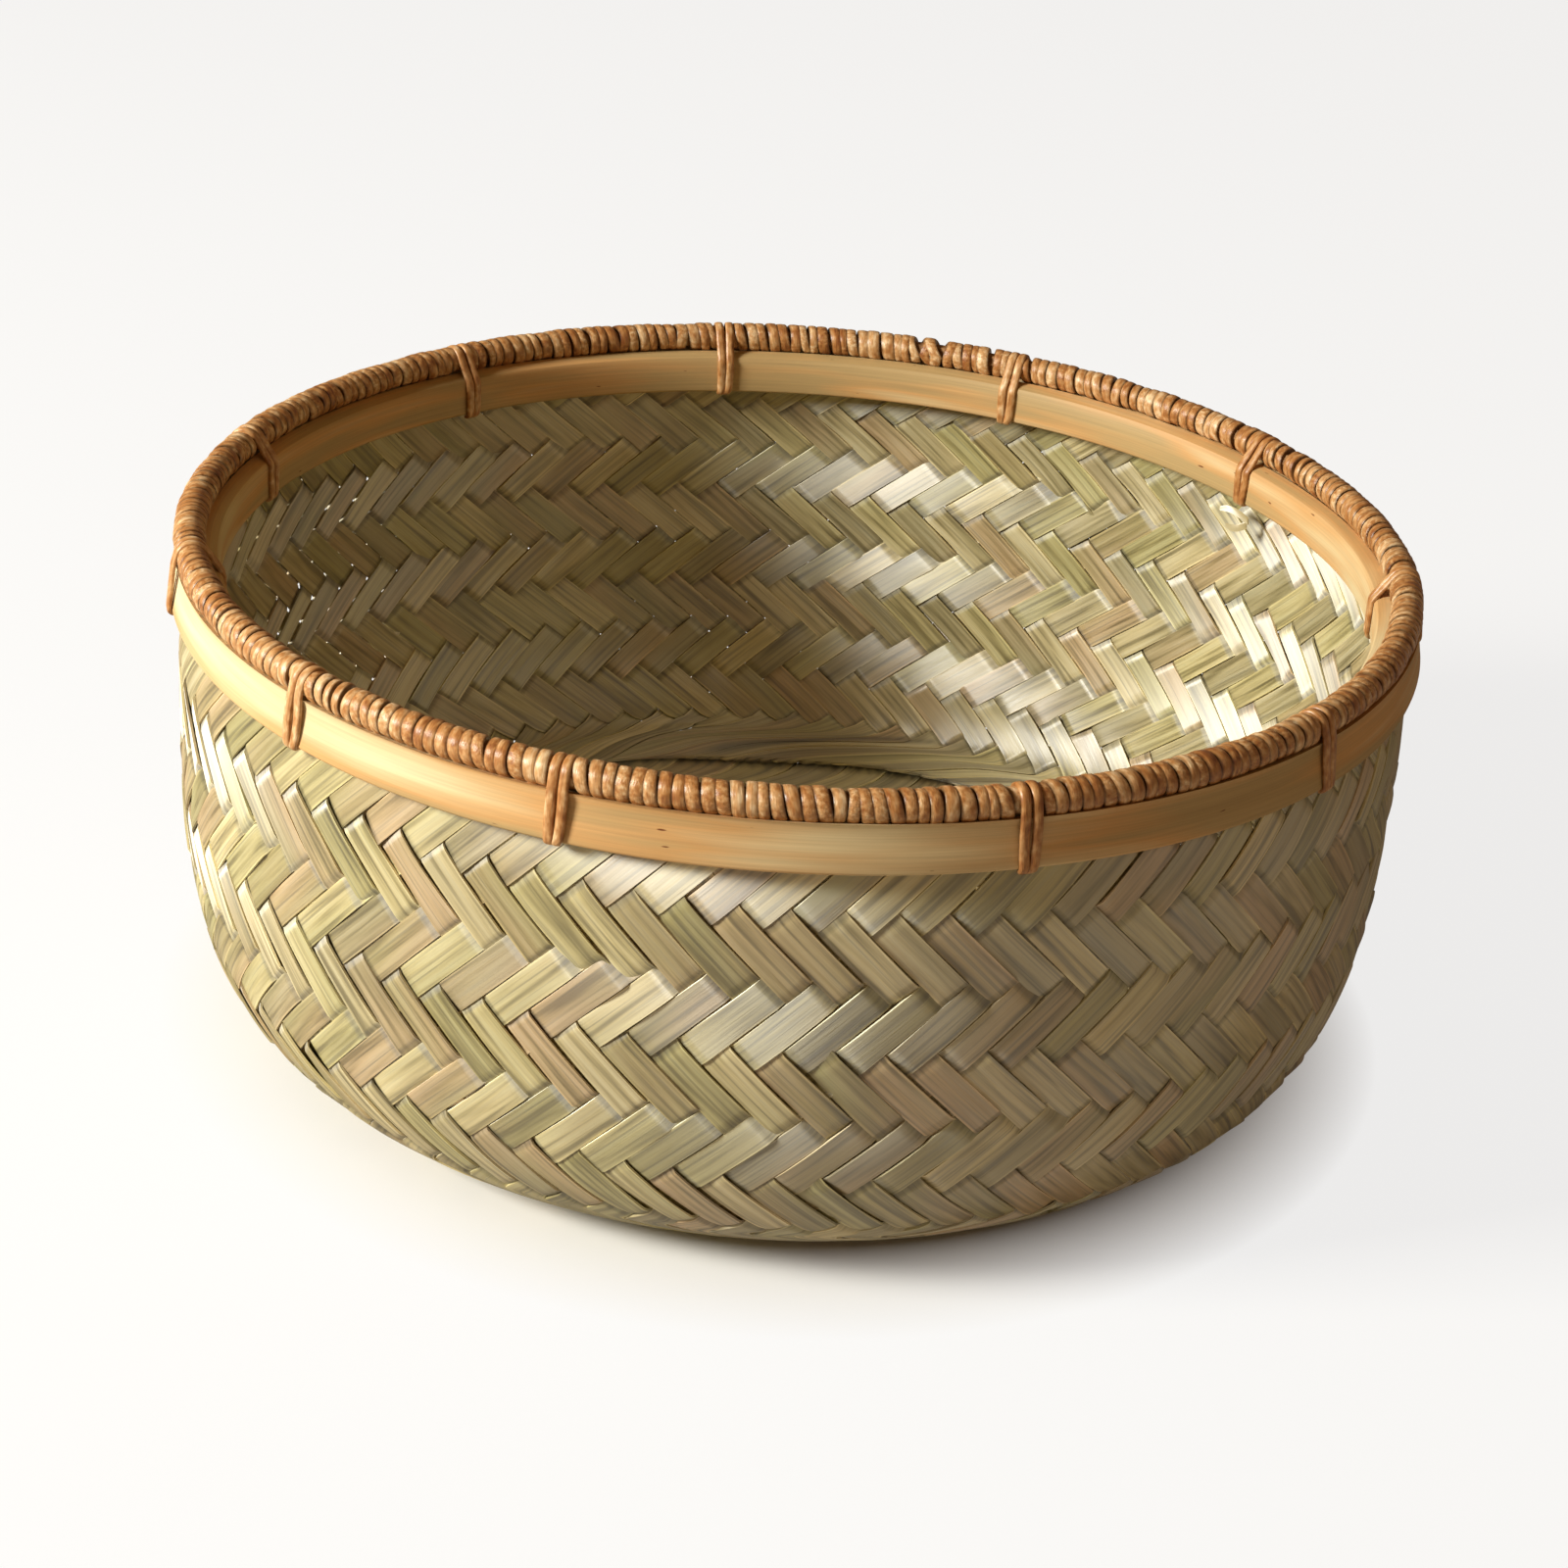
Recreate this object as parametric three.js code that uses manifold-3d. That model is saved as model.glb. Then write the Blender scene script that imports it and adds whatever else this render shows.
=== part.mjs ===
// A woven bamboo fruit basket, in millimetres, +Z up. The origin is on the table, under the middle.
//
// The bowl is plaited from flat bamboo strips. Its top edge is clamped between two split-bamboo
// hoops, a bound rattan ring covers the edge, and eleven ties of split cane lash it all together.

import * as THREE from "three";
import { mergeVertices } from "three/addons/utils/BufferGeometryUtils.js";
import Module from "manifold-3d";

// Driving dimensions of the woven bowl
const rimHeight = 104.5; // centre line of the bound ring above the table
const mouthInset = 0.9; // outer face of the weave inside the ring's centre line, at the mouth
const bulgeOut = 3.3; // how much wider the bowl is at its widest than at its mouth, in radius
const bulgeDrop = 24.4; // from the ring's centre line down to the widest place
const footRadius = 67; // the flat base that it stands on
const cornerFullness = 3.85; // 2 rounds the corner like an ellipse, more makes it squarer
const wallThickness = 1.4; // two layers of strip, one over the other

// Driving dimensions of the plaiting
const stripEnds = 84; // strips that lean each way round the wall
const crossingsPerFloat = 3; // a strip passes over three others, then under three
const wallBands = 6; // bands of floats down the wall, leaning right and left by turns
const bandTop = 2.5; // from the wall's top edge down to the first band, under the hoops
const bandHeight = 14.3; // of a band, down the wall
const grooveDepth = 0.5; // a float's edges below its crown, inside and out

// Driving dimensions of the rim
const rimRadius = 121.8; // centre line of the bound ring
const coreRadius = 2.1; // the rattan ring inside the binding
const peelThickness = 0.6; // the flat rattan peel wound round the core
const peelGap = 0.65; // between one turn of peel and the next, along the ring
const peelTurnsPerSpan = 6; // turns of peel for each tie
const peelCrown = 0.8; // the flat top of the peel, as a share of its width
const peelTuck = 0.35; // the peel's width where its ends are tucked in, as a share of its width
const spliceAngle = 73; // where the peel starts and ends, degrees about +Z
const hoopThickness = 3.3;
const hoopWidth = 8.1;
const hoopEdgeRound = 0.7; // the eased edges of the split bamboo
const scarfLength = 24; // the slanting lap where the ends of a hoop or of the core meet
const outerScarfAngle = 100; // each lap lies under a tie, degrees about +Z
const innerScarfAngle = -70;
const coreScarfAngle = 165;

// Driving dimensions of the ties
const caneWidth = 1.9;
const caneThickness = 1.2;
const caneShoulder = 0.6; // height of the split cane's edges, as a share of its thickness
const canePitch = 2.5; // from one strand to the next across a tie
const tieAngles = [-165, -135, -108, -70, -38, -2, 34, 67, 100, 131, 165]; // degrees about +Z

const clearance = 0.3; // between pieces that touch on the real basket

// Steps of the round shapes
const ringSteps = 60;
const cornerSteps = 9;
const lipSteps = 4;
const footSteps = 3;
const stepsPerPeelTurn = 8;
const coreSides = 6;
const headingsPerTieLoop = 12;

const mouthRadius = rimRadius - mouthInset;
const bulgeRadius = mouthRadius + bulgeOut;
const peelInside = (coreRadius + clearance) / Math.cos(Math.PI / stepsPerPeelTurn);
const rollRadius = peelInside + peelThickness; // the bound ring, outside
const hoopTop = -(rollRadius + clearance); // heights in the rim are counted from its centre line
const hoopBottom = hoopTop - hoopWidth;
const tieCrossing = hoopBottom - clearance - caneThickness / 2; // where a tie goes through the weave

const bamboo = (color) => new THREE.MeshStandardMaterial({ color, roughness: 0.55, metalness: 0 });
const weaveMaterial = bamboo(0xb9b083);
const hoopMaterial = bamboo(0xdcbf8a);
const rattan = new THREE.MeshStandardMaterial({ color: 0xb87a48, roughness: 0.45, metalness: 0 });

// A point of the rim's cross-section, at a radius and a height, turned to an angle about the axis.
function aroundAxis(radius, height, angle) {
  return new THREE.Vector3(radius * Math.cos(angle), radius * Math.sin(angle), height);
}

// A closed solid from a row of sections, each a loop of points that runs counter-clockwise seen
// from ahead of it, with both ends capped.
function solidThrough(sections) {
  const sides = sections[0].length;
  const triangles = [];
  for (let i = 0; i + 1 < sections.length; i += 1) {
    for (let j = 0; j < sides; j += 1) {
      const a = i * sides + j;
      const b = i * sides + ((j + 1) % sides);
      triangles.push(a, b, b + sides);
      triangles.push(a, b + sides, a + sides);
    }
  }
  const last = (sections.length - 1) * sides;
  for (let j = 1; j + 1 < sides; j += 1) {
    triangles.push(0, j + 1, j);
    triangles.push(last, last + j, last + j + 1);
  }
  const geometry = new THREE.BufferGeometry().setFromPoints(sections.flat());
  geometry.setIndex(triangles);
  geometry.computeVertexNormals();
  return geometry;
}

// A ring bent from one length of bamboo or rattan, whose ends meet in a long slanting scarf. The
// section is a loop of (radius, height) points. A point's share of the ring's thickness, from its
// inner to its outer face, says how far along the scarf its ends lie.
function scarfedRing(section, scarfDegrees) {
  const radii = section.map((p) => p.x);
  const inner = Math.min(...radii);
  const thickness = Math.max(...radii) - inner;
  const scarfAngle = scarfLength / inner;
  const joint = (clearance * Math.hypot(scarfLength, thickness)) / thickness / inner;
  const startAngle = THREE.MathUtils.degToRad(scarfDegrees) - scarfAngle / 2;
  const sections = [];
  for (let i = 0; i <= ringSteps; i += 1) {
    const along = startAngle + ((Math.PI * 2 - joint) * i) / ringSteps;
    const place = (p) => aroundAxis(p.x, p.y, along + (scarfAngle * (p.x - inner)) / thickness);
    sections.push(section.map(place));
  }
  return solidThrough(sections);
}

// The outer face of the weave, counted down from the rim's centre line: an S-shaped lip from the
// mouth out to the widest place, then a full rounded corner in to the flat base.
function lipRadius(drop) {
  const share = THREE.MathUtils.smoothstep(drop, 0, bulgeDrop);
  return mouthRadius + (bulgeRadius - mouthRadius) * share;
}

function weaveOutline(thickness) {
  const top = hoopTop;
  const points = [];
  for (let i = 0; i < lipSteps; i += 1) {
    const drop = THREE.MathUtils.lerp(-top, bulgeDrop, i / lipSteps);
    points.push(new THREE.Vector2(lipRadius(drop) - thickness, rimHeight - drop));
  }
  const reach = bulgeRadius - footRadius;
  const depth = rimHeight - bulgeDrop;
  for (let i = 0; i <= cornerSteps; i += 1) {
    const turn = (Math.PI / 2) * (i / cornerSteps);
    const across = Math.cos(turn) ** (2 / cornerFullness);
    const down = Math.sin(turn) ** (2 / cornerFullness);
    const radius = footRadius + (reach - thickness) * (i === cornerSteps ? 0 : across);
    points.push(new THREE.Vector2(radius, rimHeight - bulgeDrop - (depth - thickness) * down));
  }
  return points;
}

// The plaited bowl as one skin. On both sides of the wall each float of the twill is a low hipped
// roof: its crown lies on the wall's face and its edges lie in the grooves between the strips. Where
// the strips that lean one way float outside, those that lean the other way float inside. Points are
// counted in rows down the wall and in half strips round it. Inside and out, the base is rings.
function plaitedSkin() {
  const wallLength = new THREE.SplineCurve(weaveOutline(0)).getLength();
  const rowHeight = bandHeight / crossingsPerFloat;
  const share = (row) => (bandTop + row * rowHeight) / wallLength;
  const last = wallBands * crossingsPerFloat + 1;
  const odd = last % 2;
  const points = [];
  const triangles = [];

  const addPoint = (point, halfStrips) => {
    points.push(aroundAxis(point.x, point.y, (halfStrips * Math.PI) / stripEnds));
    return points.length - 1;
  };
  const addTriangle = (facing, corners) => {
    triangles.push(...(facing > 0 ? corners : corners.reverse()));
  };
  const ringOf = (place) => Array.from({ length: stripEnds }, (_, i) => place(2 * i));
  const join = (facing, upper, lower) => {
    for (let i = 0; i < stripEnds; i += 1) {
      const next = (i + 1) % stripEnds;
      addTriangle(facing, [upper[i], lower[i], lower[next]]);
      addTriangle(facing, [upper[i], lower[next], upper[next]]);
    }
  };

  // One side of the skin, from its top edge to the middle of the base. Facing is 1 for the outside
  // and -1 for the inside, which lies so deep in the wall.
  const addSide = (facing, depth) => {
    const face = new THREE.SplineCurve(weaveOutline(depth));
    const grooves = new THREE.SplineCurve(weaveOutline(depth + facing * grooveDepth));
    const known = new Map();
    const crown = (row, halfStrips) => addPoint(face.getPointAt(share(row)), halfStrips);
    const groove = (row, halfStrips) => {
      const round = THREE.MathUtils.euclideanModulo(halfStrips, 2 * stripEnds);
      const key = row * 2 * stripEnds + round;
      if (!known.has(key)) {
        known.set(key, addPoint(grooves.getPointAt(share(row)), round));
      }
      return known.get(key);
    };
    const addFloat = (row, halfStrips, lean) => {
      const at = (x, y) => [row + x + y, halfStrips + lean * (x - y)];
      const far = crossingsPerFloat;
      const edge = [[0, 0], [1, 0], [1, far - 1], [1, far], [0, far], [0, 1]];
      const [a, b, c, d, e, f] = edge.map(([x, y]) => groove(...at(x, y)));
      const near = crown(...at(0.5, 0.5));
      const distant = crown(...at(0.5, far - 0.5));
      const faces = [[a, b, near], [b, c, near], [c, distant, near], [c, d, distant]];
      faces.push([d, e, distant], [e, f, distant], [f, near, distant], [f, a, near]);
      faces.forEach((corners) => addTriangle(-lean * facing, corners));
    };
    for (let band = 0; band < wallBands; band += 1) {
      const row = band * crossingsPerFloat;
      const lean = band % 2 === 0 ? facing : -facing;
      for (let i = 0; i < stripEnds; i += 1) {
        addFloat(row, 2 * i + (row % 2), lean);
      }
    }

    // The first band's zigzag edge is filled up to a level ring, and so is the last band's.
    for (let i = 0; i < stripEnds; i += 1) {
      addTriangle(facing, [groove(0, 2 * i), groove(1, 2 * i + 1), groove(0, 2 * i + 2)]);
      const beside = 2 * i + odd;
      const below = [groove(last, beside), groove(last, beside + 2), groove(last - 1, beside + 1)];
      addTriangle(facing, below);
    }
    const topEdge = ringOf((turn) => addPoint(face.getPointAt(0), turn));
    join(facing, topEdge, ringOf((turn) => groove(0, turn)));
    let ring = ringOf((turn) => groove(last, turn + odd));
    for (let i = 1; i <= footSteps; i += 1) {
      const along = THREE.MathUtils.lerp(share(last), 1, i / footSteps);
      const lower = ringOf((turn) => addPoint(face.getPointAt(along), turn + odd));
      join(facing, ring, lower);
      ring = lower;
    }
    const centre = addPoint(new THREE.Vector2(0, depth), 0);
    for (let i = 0; i < stripEnds; i += 1) {
      addTriangle(facing, [ring[i], centre, ring[(i + 1) % stripEnds]]);
    }
    return topEdge;
  };

  const outerEdge = addSide(1, 0);
  const innerEdge = addSide(-1, wallThickness);
  join(1, innerEdge, outerEdge);
  const geometry = new THREE.BufferGeometry().setFromPoints(points);
  geometry.setIndex(triangles);
  return geometry;
}

// The bowl, with a slot through its wall at each tie
function wovenBowl(manifold) {
  let bowl = toManifold(manifold, plaitedSkin());
  const crossing = rimHeight + tieCrossing;
  const slotWidth = canePitch + caneWidth + 2 * clearance;
  const slotHeight = caneThickness + 2 * clearance;
  for (const degrees of tieAngles) {
    const slot = new THREE.BoxGeometry(6 * wallThickness, slotWidth, slotHeight);
    slot.translate(lipRadius(-tieCrossing) - wallThickness / 2, 0, crossing);
    slot.rotateZ(THREE.MathUtils.degToRad(degrees));
    bowl = bowl.subtract(toManifold(manifold, slot));
  }
  return fromManifold(bowl);
}

function toManifold(manifold, geometry) {
  const plain = geometry.clone();
  plain.deleteAttribute("normal");
  plain.deleteAttribute("uv");
  const merged = mergeVertices(plain, 1e-4);
  const mesh = new manifold.Mesh({
    numProp: 3,
    vertProperties: merged.attributes.position.array,
    triVerts: new Uint32Array(merged.index.array),
  });
  return new manifold.Manifold(mesh);
}

function fromManifold(solid) {
  const mesh = solid.getMesh();
  const geometry = new THREE.BufferGeometry();
  geometry.setAttribute("position", new THREE.BufferAttribute(mesh.vertProperties, 3));
  geometry.setIndex(new THREE.BufferAttribute(mesh.triVerts, 1));
  geometry.computeVertexNormals();
  return geometry;
}

// Inner faces of the two hoops at their top edges, from the wall that they clamp
const outerHoopInside = lipRadius(-hoopTop) + clearance;
const innerHoopOutside = lipRadius(-hoopTop) - wallThickness - clearance;
const outerHoopLean = lipRadius(-hoopBottom) - lipRadius(-hoopTop); // it follows the weave's lip

// A split-bamboo hoop's section: flat against the weave, with its two outside edges eased. Facing
// is 1 for the hoop outside the weave and -1 for the one inside it.
function hoopSection(seatRadius, lean, facing) {
  const away = facing * hoopThickness;
  const eased = facing * (hoopThickness - hoopEdgeRound);
  const points = [
    [seatRadius, hoopTop],
    [seatRadius + lean, hoopBottom],
    [seatRadius + lean + eased, hoopBottom],
    [seatRadius + lean + away, hoopBottom + hoopEdgeRound],
    [seatRadius + away, hoopTop - hoopEdgeRound],
    [seatRadius + eased, hoopTop],
  ];
  const section = points.map(([radius, height]) => new THREE.Vector2(radius, height));
  return facing > 0 ? section.reverse() : section;
}

const outerHoopSection = hoopSection(outerHoopInside, outerHoopLean, 1);
const innerHoopSection = hoopSection(innerHoopOutside, 0, -1);

function coreSection() {
  const points = [];
  for (let i = 0; i < coreSides; i += 1) {
    const turn = (-2 * Math.PI * i) / coreSides;
    const radius = rimRadius + coreRadius * Math.cos(turn);
    points.push(new THREE.Vector2(radius, coreRadius * Math.sin(turn)));
  }
  return points;
}

// The flat peel, wound round the core in one unbroken length. It crosses the top of the ring
// square and steps on to its next turn underneath, where the hoops hide it. It starts from the top
// edge of the inner hoop and ends at the top edge of the outer one, narrowed where it is tucked in.
function peelSections() {
  const turns = peelTurnsPerSpan * tieAngles.length;
  const pitch = (2 * Math.PI) / turns;
  const fullWidth = pitch * rimRadius - peelGap;
  const middle = peelInside + peelThickness / 2;
  const half = stepsPerPeelTurn / 2;
  const steps = (turns - 1) * stepsPerPeelTurn + half;
  const splice = THREE.MathUtils.degToRad(spliceAngle);
  const sectionAt = (radius, height, outwards, along, width) => {
    const side = width / 2;
    const face = peelThickness / 2;
    const corners = [
      [-side, -face],
      [side, -face],
      [side * peelCrown, face],
      [-side * peelCrown, face],
    ];
    return corners.map(([sideways, out]) => {
      const r = radius + out * Math.cos(outwards);
      const z = height + out * Math.sin(outwards);
      return aroundAxis(r, z, along + sideways / rimRadius);
    });
  };
  const tuckedHeight = hoopTop + clearance;
  const narrow = peelTuck * fullWidth;
  const sections = [sectionAt(rimRadius - middle, tuckedHeight, Math.PI, splice, narrow)];
  for (let i = 0; i <= steps; i += 1) {
    const outwards = Math.PI - (2 * Math.PI * i) / stepsPerPeelTurn;
    const turn = Math.floor(i / stepsPerPeelTurn);
    const underneath = Math.max(0, (i % stepsPerPeelTurn) / half - 1);
    const along = splice + pitch * (turn + underneath);
    const fromEnd = Math.min(i, steps - i) / half;
    const width = THREE.MathUtils.lerp(narrow, fullWidth, Math.min(1, fromEnd));
    const radius = rimRadius + middle * Math.cos(outwards);
    sections.push(sectionAt(radius, middle * Math.sin(outwards), outwards, along, width));
  }
  const end = splice + pitch * (turns - 1);
  const seated = outerHoopInside + hoopThickness - peelThickness;
  sections.push(sectionAt(seated, tuckedHeight, 0, end, narrow));
  return sections;
}

// A tie: one strand of split cane that comes out of the weave under the outer hoop, goes twice over
// hoops and ring, and ends against the weave under the inner hoop. A taut strand lies on the
// farthest point of the bundle in each direction, so the loop is a walk round those directions.
function farthestPoint(heading) {
  const direction = new THREE.Vector2(Math.cos(heading), Math.sin(heading));
  const ring = new THREE.Vector2(rimRadius, 0).addScaledVector(direction, rollRadius);
  const candidates = [ring, ...outerHoopSection, ...innerHoopSection];
  return candidates.reduce((best, p) => (p.dot(direction) > best.dot(direction) ? p : best));
}

function tieSections() {
  const offset = clearance + caneThickness / 2;
  const sectionAt = (radius, height, outwards, sideways) => {
    const side = caneWidth / 2;
    const face = caneThickness / 2;
    const shoulder = caneShoulder * caneThickness - face;
    const corners = [
      [side, -face],
      [-side, -face],
      [-side, shoulder],
      [0, face],
      [side, shoulder],
    ];
    return corners.map(([across, out]) => {
      const r = radius + out * Math.cos(outwards);
      const z = height + out * Math.sin(outwards);
      return new THREE.Vector3(r, sideways + across, z);
    });
  };
  const down = -Math.PI / 2;
  const faceOutside = lipRadius(-tieCrossing) + clearance;
  const faceInside = lipRadius(-tieCrossing) - wallThickness - clearance;
  const first = -canePitch / 2;
  const second = canePitch / 2;
  const sections = [sectionAt(faceOutside, tieCrossing, down, first)];
  for (const sideways of [first, second]) {
    for (let i = 0; i < headingsPerTieLoop; i += 1) {
      const heading = down + ((i + 0.5) * 2 * Math.PI) / headingsPerTieLoop;
      const point = farthestPoint(heading);
      const radius = point.x + offset * Math.cos(heading);
      const height = point.y + offset * Math.sin(heading);
      sections.push(sectionAt(radius, height, heading, sideways));
    }
    if (sideways === first) {
      sections.push(sectionAt(faceInside, tieCrossing, down, first));
      sections.push(sectionAt(faceOutside, tieCrossing, down, second));
    }
  }
  sections.push(sectionAt(faceInside, tieCrossing, down, second));
  return sections;
}

// The least distance from a wound strand to itself, measured between points along its edges that
// lie at least so many sections apart.
function leastGapToItself(sections, apart) {
  const points = [];
  const parts = 4;
  for (let i = 0; i + 1 < sections.length; i += 1) {
    for (let part = 0; part < parts; part += 1) {
      const share = part / parts;
      const row = sections[i].map((p, j) => p.clone().lerp(sections[i + 1][j], share));
      points.push(row);
    }
  }
  let least = Infinity;
  const rowsApart = apart * parts;
  const rowsToSearch = 3 * rowsApart;
  for (let i = 0; i < points.length; i += 1) {
    const end = Math.min(points.length, i + rowsToSearch);
    for (let k = i + rowsApart; k < end; k += 1) {
      for (const p of points[i]) {
        for (const q of points[k]) {
          least = Math.min(least, p.distanceToSquared(q));
        }
      }
    }
  }
  return Math.sqrt(least);
}

function named(name, geometry, material) {
  const mesh = new THREE.Mesh(geometry, material);
  mesh.name = name;
  return mesh;
}

const manifold = await Module();
manifold.setup();

const basket = new THREE.Group();
basket.add(named("woven_bowl", wovenBowl(manifold), weaveMaterial));

const rim = new THREE.Group();
rim.position.z = rimHeight;
basket.add(rim);

const outerHoop = scarfedRing(outerHoopSection, outerScarfAngle);
const innerHoop = scarfedRing(innerHoopSection, innerScarfAngle);
rim.add(named("outer_hoop", outerHoop, hoopMaterial));
rim.add(named("inner_hoop", innerHoop, hoopMaterial));
rim.add(named("rim_core", scarfedRing(coreSection(), coreScarfAngle), rattan));

const peel = peelSections();
rim.add(named("rim_binding", solidThrough(peel), rattan));

const strand = tieSections();
tieAngles.forEach((degrees, i) => {
  const tie = named("tie_" + String(i + 1).padStart(2, "0"), solidThrough(strand), rattan);
  tie.rotation.z = THREE.MathUtils.degToRad(degrees);
  rim.add(tie);
});

const peelApart = leastGapToItself(peel, stepsPerPeelTurn / 2);
const caneApart = leastGapToItself(strand, headingsPerTieLoop / 2);
console.log("least gap of the rim binding to itself: " + peelApart.toFixed(2) + " mm");
console.log("least gap of a tie's strand to itself: " + caneApart.toFixed(2) + " mm");

export default basket;
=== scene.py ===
import math

import bpy
import numpy as np
from mathutils import Matrix, Vector


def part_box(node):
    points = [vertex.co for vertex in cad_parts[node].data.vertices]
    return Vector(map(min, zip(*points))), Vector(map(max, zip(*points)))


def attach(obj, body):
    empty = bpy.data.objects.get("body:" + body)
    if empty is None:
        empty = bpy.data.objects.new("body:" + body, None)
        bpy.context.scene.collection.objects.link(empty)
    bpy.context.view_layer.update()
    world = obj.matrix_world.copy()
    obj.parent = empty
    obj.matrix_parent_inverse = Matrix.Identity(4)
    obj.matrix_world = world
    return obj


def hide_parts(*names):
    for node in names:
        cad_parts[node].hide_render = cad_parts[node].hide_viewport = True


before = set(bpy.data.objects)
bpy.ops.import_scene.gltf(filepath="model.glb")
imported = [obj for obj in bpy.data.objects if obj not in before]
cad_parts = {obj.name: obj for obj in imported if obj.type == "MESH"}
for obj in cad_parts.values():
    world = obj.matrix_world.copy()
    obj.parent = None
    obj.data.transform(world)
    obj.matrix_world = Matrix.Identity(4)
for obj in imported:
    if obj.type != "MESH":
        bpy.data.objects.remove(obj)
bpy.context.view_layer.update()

MM = 0.001

# The camera stands in front of the basket and above it, where the photograph was taken, and is
# rolled a little.
focal_length = 78.41  # on a sensor 36 mm wide
camera_place = (0.0, -0.6421, 0.3636)
camera_tilt = 63.84  # degrees up from looking straight down
camera_roll = 3.87

camera_data = bpy.data.cameras.new("camera")
camera_data.sensor_width = 36
camera_data.lens = focal_length
camera = bpy.data.objects.new("camera", camera_data)
tilt = Matrix.Rotation(math.radians(camera_tilt), 4, "X")
roll = Matrix.Rotation(math.radians(camera_roll), 4, "Z")
camera.matrix_world = Matrix.Translation(camera_place) @ tilt @ roll
bpy.context.collection.objects.link(camera)
bpy.context.scene.camera = camera
bpy.context.scene.view_settings.view_transform = "Standard"


# The stage is a white sweep under a white sky. The camera sees both nearly plain white, while the
# light that they cast on the basket is that of a warm, dim room. The floor keeps the basket's shadow.
def linear(colour):
    """A linear colour from an sRGB hex value such as "d9c08c"."""
    shares = [int(colour[i:i + 2], 16) / 255 for i in (0, 2, 4)]
    return [c / 12.92 if c <= 0.04045 else ((c + 0.055) / 1.055) ** 2.4 for c in shares] + [1.0]


def add(tree, kind, inputs=(), stops=(), **settings):
    """Adds a node with its settings. Each input takes a value, or a link if it is given a socket. A
    colour ramp's stops are places and hex colours."""
    node = tree.nodes.new(kind)
    for name, value in settings.items():
        setattr(node, name, value)
    for name, value in dict(inputs).items():
        if isinstance(value, bpy.types.NodeSocket):
            tree.links.new(value, node.inputs[name])
        else:
            node.inputs[name].default_value = value
    if stops:
        elements = node.color_ramp.elements
        while len(elements) < len(stops):
            elements.new(0.5)
        for element, (place, colour) in zip(elements, stops):
            element.position = place
            element.color = linear(colour)
    return node


sheen_share = 0.11  # how much of the white stage the half-matt bamboo and rattan mirror


def seen_directly(tree):
    """One where a camera or transmission ray looks, less for a glossy ray, and nought for the light
    that is cast."""
    path = add(tree, "ShaderNodeLightPath")
    mirrored = add(tree, "ShaderNodeMath", {0: path.outputs["Is Glossy Ray"], 1: sheen_share},
                   operation="MULTIPLY")
    either = add(tree, "ShaderNodeMath", {0: path.outputs["Is Camera Ray"], 1: mirrored.outputs[0]},
                 operation="MAXIMUM")
    return add(tree, "ShaderNodeMath", {0: either.outputs[0], 1: path.outputs["Is Transmission Ray"]},
               operation="MAXIMUM").outputs[0]


sky_strength = 0.135
sky = bpy.data.worlds.new("sky")
bpy.context.scene.world = sky
sky.use_nodes = True
sky.node_tree.nodes.clear()
cast = add(sky.node_tree, "ShaderNodeBackground", {"Color": linear("ffba34"), "Strength": sky_strength})
shown = add(sky.node_tree, "ShaderNodeBackground", {"Color": linear("ffffff"), "Strength": 1.0})
mixed = add(sky.node_tree, "ShaderNodeMixShader",
            {0: seen_directly(sky.node_tree), 1: cast.outputs[0], 2: shown.outputs[0]})
add(sky.node_tree, "ShaderNodeOutputWorld", {"Surface": mixed.outputs[0]})

floor_reach = 3.0
floor_drop = 0.05 * MM  # keeps the floor clear of the base
floor_glow = 0.82  # share of plain white in what the camera sees of the floor
foot_shade = (0.10, 0.13)  # the floor glows from here outwards, so that it stays dark under the bowl
paper = bpy.data.materials.new("white_paper_sweep")
paper.use_nodes = True
tree = paper.node_tree
tree.nodes.clear()
seen = seen_directly(tree)
white_paper = add(tree, "ShaderNodeBsdfDiffuse", {"Color": linear("f2f1ee")})
warm_bounce = add(tree, "ShaderNodeBsdfDiffuse", {"Color": linear("b8b0a4")})
matt = add(tree, "ShaderNodeMixShader", {0: seen, 1: warm_bounce.outputs[0], 2: white_paper.outputs[0]})
glow = add(tree, "ShaderNodeEmission", {"Color": linear("ffffff"), "Strength": 1.0})
spot = add(tree, "ShaderNodeTexCoord")
from_middle = add(tree, "ShaderNodeVectorMath", {0: spot.outputs["Object"]}, operation="LENGTH")
clear_of_foot = add(tree, "ShaderNodeMapRange", {
    "Value": from_middle.outputs["Value"], "From Min": foot_shade[0], "From Max": foot_shade[1],
    "To Max": floor_glow})
share = add(tree, "ShaderNodeMath", {0: seen, 1: clear_of_foot.outputs[0]}, operation="MULTIPLY")
blend = add(tree, "ShaderNodeMixShader", {0: share.outputs[0], 1: matt.outputs[0], 2: glow.outputs[0]})
add(tree, "ShaderNodeOutputMaterial", {"Surface": blend.outputs[0]})
floor_mesh = bpy.data.meshes.new("floor")
floor_corners = [(-floor_reach, -floor_reach), (floor_reach, -floor_reach),
                 (floor_reach, floor_reach), (-floor_reach, floor_reach)]
floor_mesh.from_pydata([(x, y, -floor_drop) for x, y in floor_corners], [], [(0, 1, 2, 3)])
floor_mesh.materials.append(paper)
floor = bpy.data.objects.new("floor", floor_mesh)
bpy.context.collection.objects.link(floor)


# Two lamps: a low key light from the left, which leaves the right side and the inside near it in
# shade, and a weak one from the front right.
basket_middle = Vector((0.0, 0.0, 0.06))


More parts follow.
